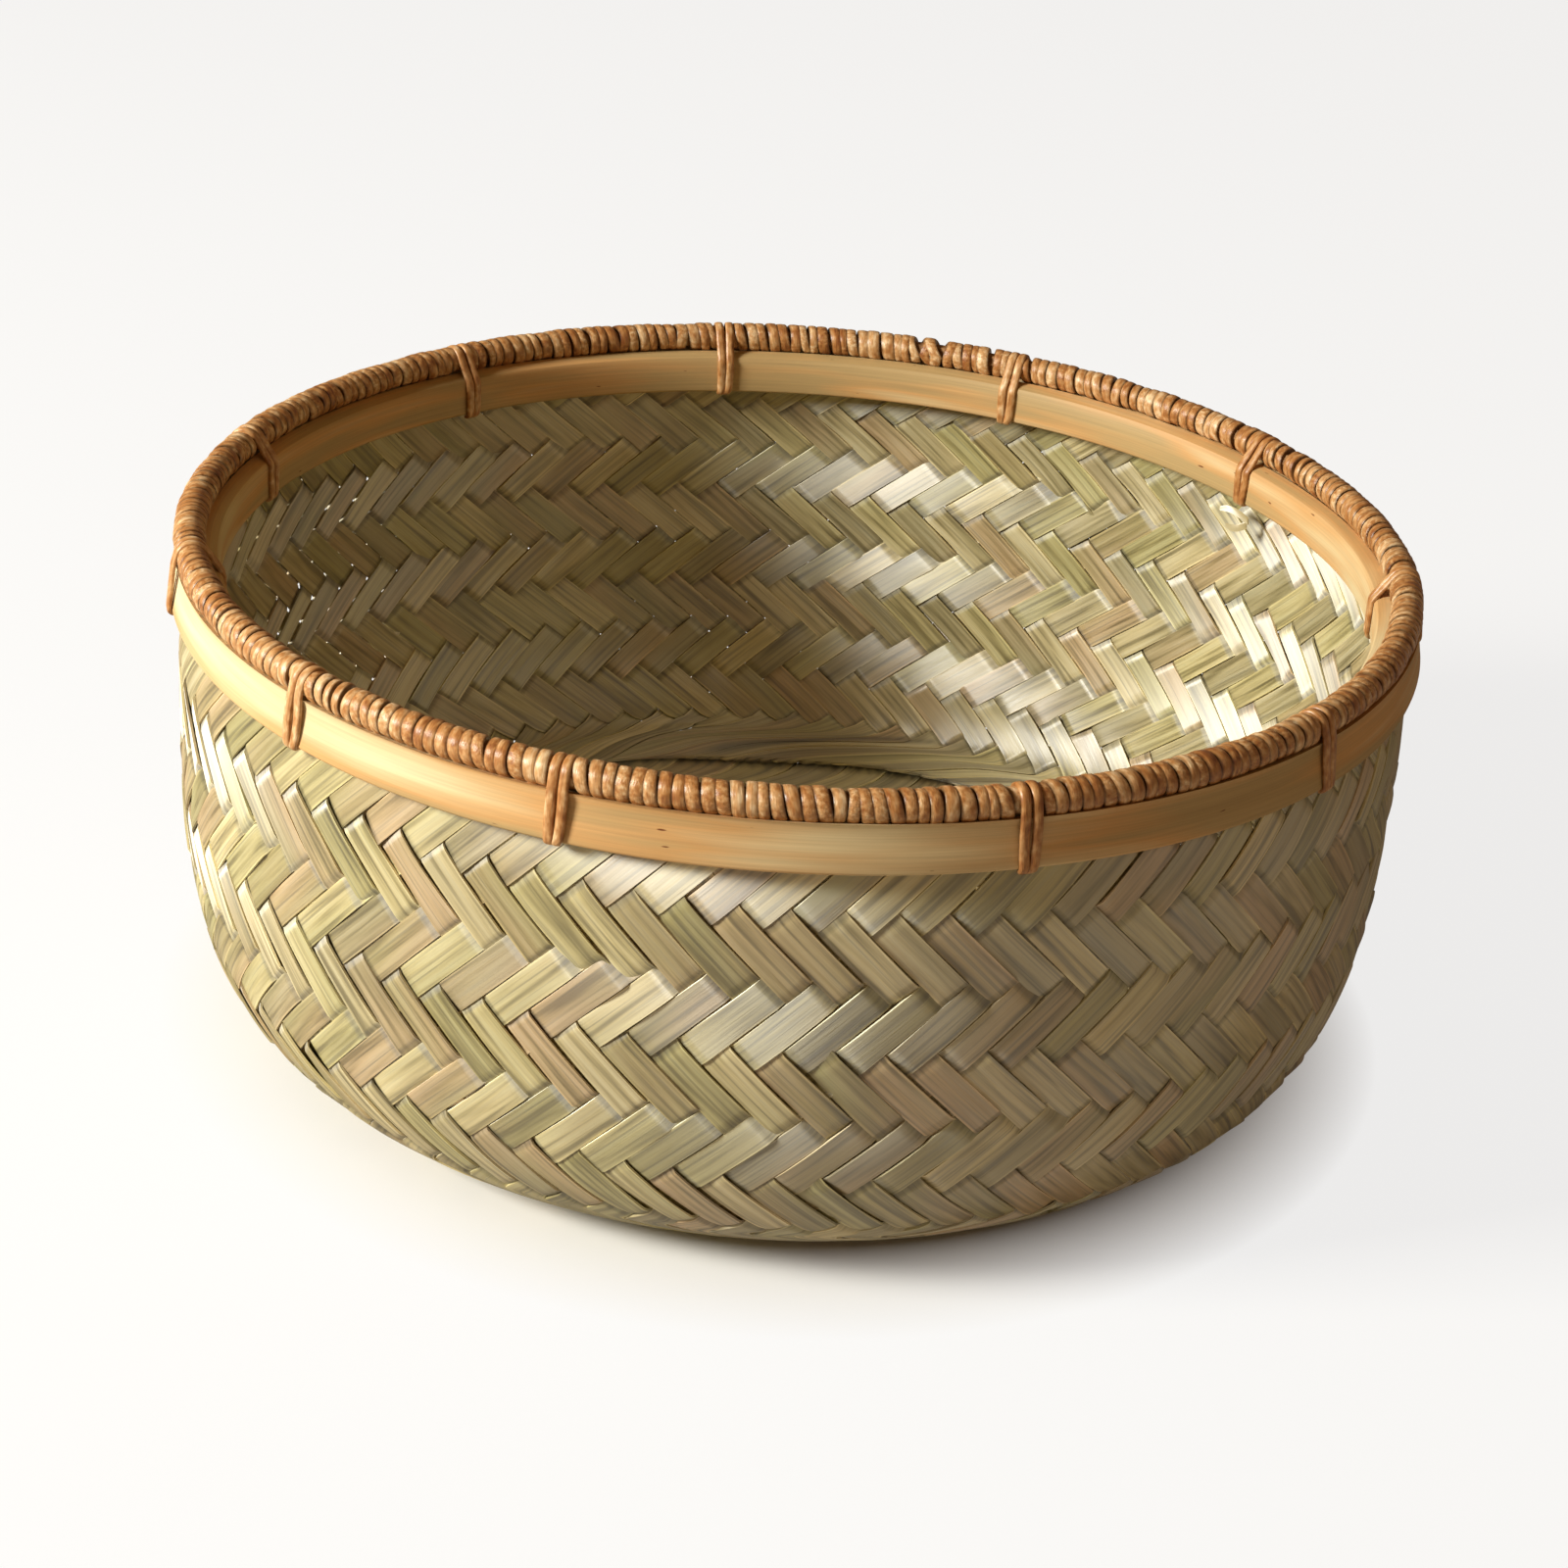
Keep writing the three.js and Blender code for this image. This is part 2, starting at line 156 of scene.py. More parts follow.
def softbox(name, degrees, elevation, distance, size, watts, colour):
    """A square area lamp that shines at the basket from an angle about the axis, an elevation and a
    distance."""
    lamp = bpy.data.lights.new(name, "AREA")
    lamp.energy = watts
    lamp.color = linear(colour)[:3]
    lamp.size = size
    holder = bpy.data.objects.new(name, lamp)
    round_axis, up = math.radians(degrees), math.radians(elevation)
    way = Vector((math.cos(round_axis) * math.cos(up), math.sin(round_axis) * math.cos(up), math.sin(up)))
    aimed = way.to_track_quat("Z", "Y").to_matrix().to_4x4()
    holder.matrix_world = Matrix.Translation(basket_middle + distance * way) @ aimed
    bpy.context.collection.objects.link(holder)


softbox("key_softbox", -159, 26.5, distance=1.5, size=0.40, watts=34.6, colour="fffdf3")
softbox("fill_softbox", -45, 30, distance=1.5, size=0.9, watts=0.8, colour="ffffff")


# The bowl is plaited from 84 flat strips of shaved bamboo, 42 each way. They start as a square mat
# in a 3 over, 3 under twill. Round the edge of the base the strips are creased and drawn sideways
# into a narrow fan, and from there both ends of each strip lean right and left up the round wall.
def mesh_piece(name, points, faces, material, attributes=(), uv=None, sharp=35):
    """A mesh object at the origin from whole arrays of points and four-cornered faces, turned to
    face outwards, smooth except at edges that bend by more than so many degrees."""
    points = np.asarray(points, dtype=np.float64).reshape(-1, 3)
    a, b, c, d = (points[faces[:, i]] for i in range(4))
    volume = np.einsum("ij,ij->", np.cross(b - a, c - a) + np.cross(c - a, d - a), a)
    if volume < 0:
        faces = faces[:, ::-1]
    mesh = bpy.data.meshes.new(name)
    mesh.vertices.add(len(points))
    mesh.vertices.foreach_set("co", points.astype(np.float32).ravel())
    mesh.loops.add(faces.size)
    mesh.loops.foreach_set("vertex_index", faces.astype(np.int32).ravel())
    mesh.polygons.add(len(faces))
    mesh.polygons.foreach_set("loop_start", np.arange(0, faces.size, 4, dtype=np.int32))
    mesh.update(calc_edges=True)
    mesh.polygons.foreach_set("use_smooth", np.ones(len(faces), dtype=bool))
    mesh.set_sharp_from_angle(angle=math.radians(sharp))
    if uv is not None:
        layer = mesh.uv_layers.new(name="along_and_across")
        layer.uv.foreach_set("vector", np.asarray(uv, dtype=np.float32).reshape(-1, 2)[faces.ravel()].ravel())
    for label, values in dict(attributes).items():
        data = mesh.attributes.new(label, "FLOAT", "POINT").data
        data.foreach_set("value", np.asarray(values, dtype=np.float32).ravel())
    mesh.validate()
    mesh.materials.append(material)
    piece = bpy.data.objects.new(name, mesh)
    bpy.context.collection.objects.link(piece)
    return piece


def tube_faces(tubes, steps, corners):
    """The faces of closed tubes whose sections have an even number of corners: each section is
    joined to the next one, and both ends are closed from corner to corner across the section."""
    index = np.arange(tubes * steps * corners).reshape(tubes, steps, corners)
    ahead = np.roll(index, -1, axis=2)
    sides = np.stack([index[:, :-1], ahead[:, :-1], ahead[:, 1:], index[:, 1:]], axis=-1)
    low = np.arange(corners // 2 - 1)
    across = np.stack([low, low + 1, corners - 2 - low, corners - 1 - low], axis=1)
    first = index[:, 0][:, across[:, ::-1]]
    last = index[:, -1][:, across]
    return np.concatenate([sides.reshape(-1, 4), first.reshape(-1, 4), last.reshape(-1, 4)])


def smoothstep(x):
    """Nought below 0, one above 1 and an S-curve between."""
    x = np.clip(x, 0, 1)
    return x * x * (3 - 2 * x)


ring_low, ring_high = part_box("rim_core")
core_radius = (ring_high.z - ring_low.z) / 2
rim_height = (ring_high.z + ring_low.z) / 2
rim_radius = 121.8 * MM  # to the middle of the ring
wall_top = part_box("woven_bowl")[1].z
mouth_radius = rim_radius - 0.9 * MM  # to the outside of the weave under the ring
bulge_radius = mouth_radius + 3.3 * MM  # and to its outside where the bowl is widest
bulge_height = rim_height - 24.4 * MM
foot_radius = 67 * MM
corner_fullness = 3.85  # power of the curve from the base to the wall: 2 is an ellipse, more is squarer
wall_thickness = 1.4 * MM
strip_thickness = 0.5 * MM
shaved_width = 6.45 * MM
strip_crown = 0.07 * MM  # how far the middle of a strip's faces stands above their edges
crossing_lift = (wall_thickness - strip_thickness) / 2

# The middle of the wall, from the centre of the base outwards and up to the rim: a superellipse up to
# the bulge, and an S-curve from there in to the mouth.
half_wall = wall_thickness / 2
corner_steps = 900
turn = np.linspace(math.pi / 2, 0, corner_steps)
corner_radius = foot_radius + (bulge_radius - half_wall - foot_radius) * np.cos(turn) ** (2 / corner_fullness)
corner_height = bulge_height - (bulge_height - half_wall) * np.sin(turn) ** (2 / corner_fullness)
neck_height = np.linspace(bulge_height, rim_height, 200)[1:]
neck_share = smoothstep((rim_height - neck_height) / (rim_height - bulge_height))
neck_radius = mouth_radius - half_wall + (bulge_radius - mouth_radius) * neck_share
profile_radius = np.concatenate([[0], corner_radius, neck_radius])
profile_height = np.concatenate([[half_wall], corner_height, neck_height])
profile_length = np.concatenate([[0], np.cumsum(np.hypot(np.diff(profile_radius), np.diff(profile_height)))])
top_length = np.interp(wall_top, profile_height[1:], profile_length[1:])

# The same at even steps along the wall, and its slope there, averaged over a few steps
even_length = np.linspace(0, profile_length[-1], 1200)
even_radius = np.interp(even_length, profile_length, profile_radius)
even_height = np.interp(even_length, profile_length, profile_height)
soften_reach = 20  # steps to each side
soften = np.hanning(2 * soften_reach + 1)
soften = soften / soften.sum()


def softened_slope(values):
    """The slope of values along the wall, as a bell-shaped average over its neighbours."""
    slope = np.pad(np.gradient(values, even_length), soften_reach, mode="edge")
    return np.convolve(slope, soften, mode="valid")


slope_radius = softened_slope(even_radius)
slope_height = softened_slope(even_height)

mat_turn = math.radians(30)  # the way that the mat's strips run
crease_length = np.interp(104 * MM, corner_radius, profile_length[1:corner_steps + 1])

# The fold at the edge of the base, measured along the wall from its middle
fold_slip = 3.8  # how far the strips are pushed back there, for each step along the wall
fold_reach = 2.5 * MM
turn_back = 1.4 * MM  # from the middle to both lines where the strips turn back on themselves
turn_width = 1.6 * MM
pocket_height = 1.35 * MM
lip_height = 0.7 * MM  # above the pocket's roof
puff_start = 3.2 * MM  # where the lip begins to come down to the wall again
puff_reach = 3.5 * MM
fold_dip = (2.2 * MM, 0.70, 0.13)  # how far it dips to the base, where on a side of the mat, how widely
pocket_floor = (-4.1 * MM, 0.7 * MM)  # where its painted shade begins, and over how much it fades in
pocket_roof = (1.2 * MM, 0.6 * MM)  # where that ends, and over how much it fades out
crease_start = (0.81, 0.05)  # where a finer crease leaves the fold on a side of the mat, and its fade
crease_end = (0.36, 0.16)  # where it ends, and its fade
crease_foot = 2.3 * MM  # how far above the fold it starts
crease_climb = 19 * MM  # how far it would climb away from the fold along a whole side
crease_depth = 0.35 * MM
crease_width = (1.2 * MM, 0.75 * MM)  # of its dent and of its line of painted shade
crease_shade = 0.9  # strength of that line of painted shade, as a share of the pocket's


def fold(length, angle):
    """How far the inner strips slip along the wall, how far they stand off it into the bowl and how
    deep they lie in a crease, at the edge of the base, and how much painted shade darkens their
    colour there. They are folded there into an S, so that a lip hangs over a pocket: the slip is
    their distance from the fold's middle times a bell curve, and the rise is a step up to the
    pocket's roof and one to the lip, which then comes down in half a bell curve. Painted shade fills
    the pocket from its floor to its roof. Along each side of the mat a finer crease, a groove of
    bell-shaped section, leaves the fold and climbs, with a line of painted shade along it."""
    along_side = ((angle - mat_turn) / (math.pi / 2)) % 1
    dip = -fold_dip[0] * np.exp(-((along_side - fold_dip[1]) / fold_dip[2]) ** 2)
    beyond = length - crease_length - dip
    slip = -fold_slip * beyond * np.exp(-(beyond / fold_reach) ** 2)
    rise = pocket_height * smoothstep((beyond + turn_back) / turn_width + 0.5)
    rise = rise + lip_height * smoothstep((beyond - turn_back) / turn_width + 0.5)
    rise = rise * np.exp(-(np.maximum(beyond - puff_start, 0) / puff_reach) ** 2)
    # Painted shade: the colour is darkened in the pocket, from its floor to its roof.
    pocket = smoothstep((beyond - pocket_floor[0]) / pocket_floor[1])
    pocket = pocket * smoothstep((pocket_roof[0] - beyond) / pocket_roof[1])
    past = crease_start[0] - along_side
    above = beyond - crease_foot - crease_climb * past
    crease_share = smoothstep(past / crease_start[1])
    crease_share = crease_share * smoothstep((along_side - crease_end[0]) / crease_end[1])
    rise = rise - crease_depth * crease_share * np.exp(-(above / crease_width[0]) ** 2)
    # A line of painted shade along the crease
    pocket = np.maximum(pocket, crease_shade * crease_share * np.exp(-(above / crease_width[1]) ** 2))
    return slip, rise, pocket


def on_wall(length, angle, out):
    """Points so far from the centre of the base along the wall, at an angle about the axis, and so
    far out from the middle of the wall along its normal."""
    radius = np.interp(length, even_length, even_radius) + out * np.interp(length, even_length, slope_height)
    height = np.interp(length, even_length, even_height) - out * np.interp(length, even_length, slope_radius)
    return np.stack([radius * np.cos(angle), radius * np.sin(angle), height], axis=-1)


half_mat = 21  # strips on each side of the mat's middle, each way
strip_pitch = 6.5 * MM
twill = 3  # strips that each strip passes over, and then under
square_row = 12  # rows from the centre up to which the mat stays square
corner_crease_row = 15.9  # rows from the centre to the crease, in the corners of the mat
side_crease_row = 20.3  # and half way between them
low_row = 22.5  # the lowest change of lean on the wall
low_row_down = (92.6 * MM, 96.2 * MM)  # how far that is below the rim, in front and at the back
row_height = (4.74 * MM, 3.72 * MM)  # along the wall above it, in front and at the back
fan_twist = math.radians(-18)  # how far the strips are drawn round between the crease and that row
twist_share = (0.15, 1.1)  # how far on they are at the crease, and how much faster than the rows


def crease_row(slant):
    """The row of the crease where a row's strips lie so far out for each strip counted: one in the
    corners of the mat and the root of a half between them."""
    squareness = (1 / slant - 1) / (math.sqrt(2) - 1)
    return corner_crease_row + (side_crease_row - corner_crease_row) * squareness


def mat_to_wall(along, across, hand, quarter):
    """Where a point of the mat lies on the bowl, as its distance from the centre along the wall and
    its angle. Along is measured on a strip from its middle, across from the mat's middle, both in
    strips, and hand is the side of the middle that the strip lies on. On the base the mat is flat
    and square. In the fan its rows are gathered and drawn round. On the wall each strip climbs one
    row as it moves half a strip's place round. Quarter is one for the strips that run the other way,
    whose mat is turned by 90 degrees."""
    aside = across * hand
    rows = np.abs(along) + aside
    on_base = rows < half_mat
    leans_right = along * hand > 0
    climbed = np.where(on_base, half_mat * aside / np.maximum(rows, 1e-3), aside - (rows - half_mat) / 2)
    first = np.where(leans_right, np.where(along > 0, 0, 2), np.where(along < 0, 2, 4)) * half_mat
    place = first + np.where(leans_right, climbed, -climbed)
    side = np.floor(place / half_mat)
    share = place / half_mat - side
    slant = np.hypot(share, 1 - share)
    flat_angle = side * math.pi / 2 + np.arctan2(share, 1 - share)
    round_angle = (place / half_mat) * math.pi / 2
    turned = mat_turn + quarter * math.pi / 2
    back = 0.5 + 0.5 * np.sin(round_angle + turned)
    low_length = profile_length[-1] - low_row_down[0] - (low_row_down[1] - low_row_down[0]) * back
    step = row_height[0] + (row_height[1] - row_height[0]) * back
    first_row = crease_row(slant)
    in_fan = (rows - first_row) / (low_row - first_row)
    length = np.where(in_fan < 0, crease_length * rows / first_row,
                      crease_length + (low_length - crease_length) * in_fan)
    length = np.where(in_fan > 1, low_length + (rows - low_row) * step, length)
    rounded = smoothstep((rows - square_row) / (low_row - square_row))
    drawn_round = fan_twist * smoothstep(twist_share[0] + twist_share[1] * in_fan)
    angle = flat_angle + (round_angle - flat_angle) * rounded + drawn_round
    return length, angle + turned


strip_steps = 460
crossing_bend = 0.34  # share of a strip's place over which it passes from over to under
crossing_press = 0.97  # share of the full lift that is left where strips press on each other
fan_rows = 4  # rows inside the crease from which on the strips lie as in the fan
own_lean = 0.065  # spread of a strip's slope across itself
raised_edge = 0.08  # and the slope of a float that leans left, so that its right edge stands up
open_wall = (6 * MM, 8 * MM, 14 * MM, 6 * MM)  # its start past the crease and end below the top, with fades
loose_side = math.radians(168)  # round here light shows between the strips
loose_share = 0.1  # how much narrower they are there
strip_section = [(-1, -0.5), (-0.5, -0.5), (0, -0.5), (0.5, -0.5), (1, -0.5),
                 (1, 0.5), (0.5, 0.5), (0, 0.5), (-0.5, 0.5), (-1, 0.5)]  # half widths, thicknesses


def strips_one_way(name, quarter, hand, material, seed):
    """The strips that run one way, on one hand of the mat's middle. Each is a flat section carried
    from rim to rim, over and under the strips that run the other way. Quarter turns the mat by 90
    degrees for the other way."""
    random = np.random.default_rng(seed)
    count = half_mat
    middle = hand * (np.arange(count)[:, None] + 0.5)

    # Both ends lie where the strip first reaches the top of the wall.
    trial = np.linspace(0.01, 60, 1200)
    ends = []
    for direction in (-1, 1):
        length, _ = mat_to_wall(direction * trial, middle, hand, quarter)
        ends.append(direction * trial[np.argmax(length >= top_length, axis=1)])

    # The steps along a strip are five times as close where it crosses the fold.
    even = ends[0][:, None] + (ends[1] - ends[0])[:, None] * np.linspace(0, 1, 3000)
    length, _ = mat_to_wall(even, middle, hand, quarter)
    closeness = 1 + 4 * np.exp(-((length - crease_length - 3 * MM) / (6 * MM)) ** 2)
    share = np.cumsum(closeness, axis=1)
    share = (share - share[:, :1]) / (share[:, -1:] - share[:, :1])
    along = np.stack([np.interp(np.linspace(0, 1, strip_steps), share[i], even[i]) for i in range(count)])

    # Halfway between two crossings the strip bends from one to the other.
    crossing = np.floor(along - 0.5)

    def over(number):
        """One where the strip passes a crossing on the bowl's outside and minus one where it passes
        inside, by the crossing's row. In the fan, what leans right lies inside."""
        at = number + 0.5
        row = np.round(np.abs(at) + np.abs(middle))
        in_fan = (row < low_row) & (row > crease_row(np.hypot(at, middle) / row) - fan_rows)
        leans_right = at * middle > 0
        return np.where(leans_right == (((row + 1) % (2 * twill) < twill) & ~in_fan), 1.0, -1.0)

    between = smoothstep((along - 0.5 - crossing - 0.5) / crossing_bend + 0.5)
    lift = over(crossing) + (over(crossing + 1) - over(crossing)) * between
    inner = smoothstep((1 - lift) / 2)
    diving = 1 - np.abs(lift)

    # A strip wanders sideways in two slow waves, with two of the phases drawn for it, and leans by its
    # own amount at knots two strips apart.
    phase = random.uniform(0, 2 * math.pi, (4, count, 1))
    drift = 0.018 * np.sin(along / 3.1 + phase[0]) + 0.014 * np.sin(along / 1.3 + phase[1])
    lean_knots = random.normal(0, 1, (count, 140))
    knot = (along + 66) / 2
    low = np.floor(knot).astype(int)
    strip = np.arange(count)[:, None]
    here, following = lean_knots[strip, low], lean_knots[strip, low + 1]
    lean = own_lean * (here + (following - here) * smoothstep(knot - low))

    length, angle = mat_to_wall(along, middle, hand, quarter)
    turned_up = np.where(along * middle > 0, np.maximum(lift, 0), np.maximum(-lift, 0))
    on_open_wall = smoothstep((length - crease_length - open_wall[0]) / open_wall[1])
    on_open_wall = on_open_wall * smoothstep((top_length - open_wall[2] - length) / open_wall[3])
    right_side = np.where(along > 0, 1.0, -1.0)
    lean = lean + raised_edge * turned_up * on_open_wall * right_side

    # The strip fills its place among its neighbours, but is never wider than it was shaved.
    looser = smoothstep((np.cos(angle - loose_side) - 0.8) / 0.15) * on_open_wall
    fill = random.uniform(0.955, 1.0, (count, 1)) - loose_share * looser
    left = on_wall(*mat_to_wall(along, middle + drift - 0.5, hand, quarter), 0)
    right = on_wall(*mat_to_wall(along, middle + drift + 0.5, hand, quarter), 0)
    ahead = np.gradient(0.5 * (left + right), axis=1)
    ahead /= np.linalg.norm(ahead, axis=-1, keepdims=True)
    room = np.linalg.norm(np.cross(right - left, ahead), axis=-1)
    half_width = 0.5 * fill * np.minimum(1, shaved_width / np.maximum(room, 1e-6))

    points = []
    fold_shades = []
    most = half_wall + (0.1 + 0.3 * on_open_wall) * MM  # no face lies farther from the wall's middle
    for sideways, face in strip_section:
        shift = sideways * half_width
        length, angle = mat_to_wall(along, middle + drift + shift, hand, quarter)
        slip, rise, pocket = fold(length, angle)
        raised = np.sign(face) * strip_crown * (1 - sideways ** 2)
        lifted = crossing_lift * lift * crossing_press
        out = lifted + face * strip_thickness + raised + lean * shift * strip_pitch
        out = np.clip(out, -most, most) - rise * inner
        points.append(on_wall(np.minimum(length + slip * inner, top_length), angle, out))
        # The fold's painted shade, on the inner layer only
        fold_shades.append(pocket * inner)
    points = np.stack(points, axis=2)
    points[..., 2] = np.maximum(points[..., 2], 0)
    grid = (count, strip_steps, len(strip_section))
    travelled = np.broadcast_to((along * strip_pitch)[..., None], grid)
    aside = np.stack([s * half_width * strip_pitch for s, _ in strip_section], axis=2)
    tone = np.broadcast_to(random.uniform(0, 1, (count, 1, 1)), grid)
    piece = mesh_piece(name, points, tube_faces(*grid), material,
                       {"strip_tone": tone, "painted_fold_shade": np.stack(fold_shades, axis=2),
                        "diving": np.broadcast_to(diving[..., None], grid)},
                       np.stack([travelled, aside], axis=-1))
    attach(piece, "root")
    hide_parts("woven_bowl")


def new_material(name, roughness, **principled):
    """An empty node material with its main shader, and its tree and that shader."""
    material = bpy.data.materials.new(name)
    material.use_nodes = True
    tree = material.node_tree
    tree.nodes.clear()
    shader = add(tree, "ShaderNodeBsdfPrincipled", {"Roughness": roughness, **principled})
    add(tree, "ShaderNodeOutputMaterial", {"Surface": shader.outputs[0]})
    return material, tree, shader


def strand_vector(tree, length, width, label, stretch):
    """A texture vector on a strand: one unit for each length along it and each width across it, in
    millimetres, with every strand in a slice of the texture of its own. Also the place across the
    strand, in metres, and the strand's own number."""
    uv = add(tree, "ShaderNodeUVMap", uv_map="along_and_across")
    parts = add(tree, "ShaderNodeSeparateXYZ", {0: uv.outputs[0]})
    own = add(tree, "ShaderNodeAttribute", attribute_name=label)
    scale = [add(tree, "ShaderNodeMath", {0: parts.outputs[i], 1: 1 / (size * MM)}, operation="MULTIPLY")
             for i, size in ((0, length), (1, width))]
    slice_of_its_own = add(tree, "ShaderNodeMath", {0: own.outputs["Fac"], 1: stretch}, operation="MULTIPLY")
    vector = add(tree, "ShaderNodeCombineXYZ",
                 {0: scale[0].outputs[0], 1: scale[1].outputs[0], 2: slice_of_its_own.outputs[0]})
    return vector.outputs[0], parts.outputs[1], own.outputs["Fac"]


def times(tree, colour, factor):
    """A colour made lighter or darker by a number that changes over the surface."""
    grey = add(tree, "ShaderNodeCombineColor", {0: factor, 1: factor, 2: factor})
    return add(tree, "ShaderNodeMix", {"Factor": 1.0, 6: colour, 7: grey.outputs[0]},
               data_type="RGBA", blend_type="MULTIPLY").outputs[2]


# Shaved bamboo strip, neither dyed nor varnished. Each strip keeps the tone of its own culm, from
# straw to grey-green and pinkish tan, with broad streaks, veins and fine fibres along it. Its shaved
# edges are paler, and a painted highlight lightens them further. The fibres run along the strip, so
# its strong sheen is drawn out across it and broken into lines. Where a strip dives under another it
# is dull, and its colour is darkened there as painted shade. The fold's pocket, and a line along the
# crease above it, are darkened further as painted shade.
satin = 0.53  # roughness of a shaved face
plaited_bamboo, tree, shader = new_material("shaved_bamboo_strip", satin, **{
    "IOR": 2.05, "Specular IOR Level": 1.0, "Anisotropic": 0.94, "Anisotropic Rotation": 0.25})
fibre_at, across, tone = strand_vector(tree, 16, 0.38, "strip_tone", 90)
fibres = add(tree, "ShaderNodeTexNoise", {"Vector": fibre_at, "Scale": 1.0, "Detail": 3.0, "Roughness": 0.6})
streak_at = strand_vector(tree, 30, 1.5, "strip_tone", 70)[0]
streaks = add(tree, "ShaderNodeTexNoise", {"Vector": streak_at, "Scale": 1.0, "Detail": 2.0})
vein_at = strand_vector(tree, 60, 0.7, "strip_tone", 55)[0]
veins = add(tree, "ShaderNodeTexNoise", {"Vector": vein_at, "Scale": 1.0, "Detail": 1.0})
vein = add(tree, "ShaderNodeMapRange", {"Value": veins.outputs["Fac"], "From Min": 0.33, "From Max": 0.42,
                                        "To Min": 0.64, "To Max": 1.0})
patch_at = strand_vector(tree, 45, 12, "strip_tone", 40)[0]
patches = add(tree, "ShaderNodeTexNoise", {"Vector": patch_at, "Scale": 1.0, "Detail": 1.5})
shifted = add(tree, "ShaderNodeMapRange", {"Value": patches.outputs["Fac"], "To Min": -0.24, "To Max": 0.24})
own_tone = add(tree, "ShaderNodeMath", {0: tone, 1: shifted.outputs[0]}, operation="ADD")
culm_tone = add(tree, "ShaderNodeValToRGB", {"Fac": own_tone.outputs[0]}, stops=[
    (0.0, "e0d3a5"), (0.2, "c2bb88"), (0.38, "aba473"), (0.56, "ccb38e"), (0.74, "aca480"), (1.0, "ded1a7")])
streak = add(tree, "ShaderNodeValToRGB", {"Fac": streaks.outputs["Fac"]}, stops=[
    (0.31, "a7a18d"), (0.43, "dcd7c6"), (0.53, "f6f2e8"), (0.64, "ffffff")])
streaked = add(tree, "ShaderNodeMix",
               {"Factor": 1.0, 6: culm_tone.outputs["Color"], 7: streak.outputs["Color"]},
               data_type="RGBA", blend_type="MULTIPLY")
# Painted highlight: each strip is lightened towards both edges, over its paler shaved edges
from_middle = add(tree, "ShaderNodeMath", {0: across}, operation="ABSOLUTE")
edge = add(tree, "ShaderNodeMapRange", {"Value": from_middle.outputs[0], "From Min": 2.7 * MM,
                                        "From Max": 3.0 * MM, "To Min": 1.0, "To Max": 1.35})
fine = add(tree, "ShaderNodeMapRange", {"Value": fibres.outputs["Fac"], "To Min": 0.66, "To Max": 1.34})
lit_edge = add(tree, "ShaderNodeMath", {0: fine.outputs[0], 1: edge.outputs[0]}, operation="MULTIPLY")
light = add(tree, "ShaderNodeMath", {0: lit_edge.outputs[0], 1: vein.outputs[0]}, operation="MULTIPLY")
# Painted shade in the fold's pocket and along the crease
painted_fold_shade = add(tree, "ShaderNodeAttribute", attribute_name="painted_fold_shade")
fold_shade_factor = add(tree, "ShaderNodeMapRange", {"Value": painted_fold_shade.outputs["Fac"], "To Min": 1.0, "To Max": 0.2})
# Painted shade where a strip dives under another
diving = add(tree, "ShaderNodeAttribute", attribute_name="diving")
shaded = add(tree, "ShaderNodeMapRange", {"Value": diving.outputs["Fac"], "From Max": 0.45,
                                          "To Min": 1.0, "To Max": 0.55})
dark = add(tree, "ShaderNodeMath", {0: fold_shade_factor.outputs[0], 1: shaded.outputs[0]}, operation="MULTIPLY")
clean = times(tree, streaked.outputs[2], light.outputs[0])
tree.links.new(times(tree, clean, dark.outputs[0]), shader.inputs["Base Color"])
worn = add(tree, "ShaderNodeMapRange", {"Value": diving.outputs["Fac"], "From Max": 0.14,
                                        "To Min": satin, "To Max": 0.9})
rough_fibres = add(tree, "ShaderNodeMapRange", {"Value": fibres.outputs["Fac"], "To Min": 0.6, "To Max": 1.4})
uneven_sheen = add(tree, "ShaderNodeMath", {0: worn.outputs[0], 1: rough_fibres.outputs[0]},
                   operation="MULTIPLY")
tree.links.new(uneven_sheen.outputs[0], shader.inputs["Roughness"])
relief = add(tree, "ShaderNodeBump", {"Height": fibres.outputs["Fac"], "Strength": 0.5,
                                      "Distance": 0.12 * MM})
tree.links.new(relief.outputs[0], shader.inputs["Normal"])
along_fibres = add(tree, "ShaderNodeTangent", direction_type="UV_MAP", uv_map="along_and_across")
tree.links.new(along_fibres.outputs[0], shader.inputs["Tangent"])

for quarter, way in enumerate(("lengthwise", "crosswise")):
    for hand in (-1, 1):
        strips_one_way(f"{way}_strips_{(hand + 3) // 2}", quarter, hand, plaited_bamboo,
                       seed=20 + 2 * quarter + hand)


# The two hoops are lengths of planed split bamboo bent round the top of the weave, one outside it
# and one inside. Their ends are shaved to a long scarf that lies under a tie.
hoop_thickness = 3.3 * MM
hoop_edge = 0.7 * MM
tuck_fall = 1.6 * MM  # how far the top edges bend over to reach the ring
clearance = 0.3 * MM
scarf_length = 24 * MM
hoop_steps = 540
out_of_round = 0.08 * MM
out_of_level = 0.1 * MM


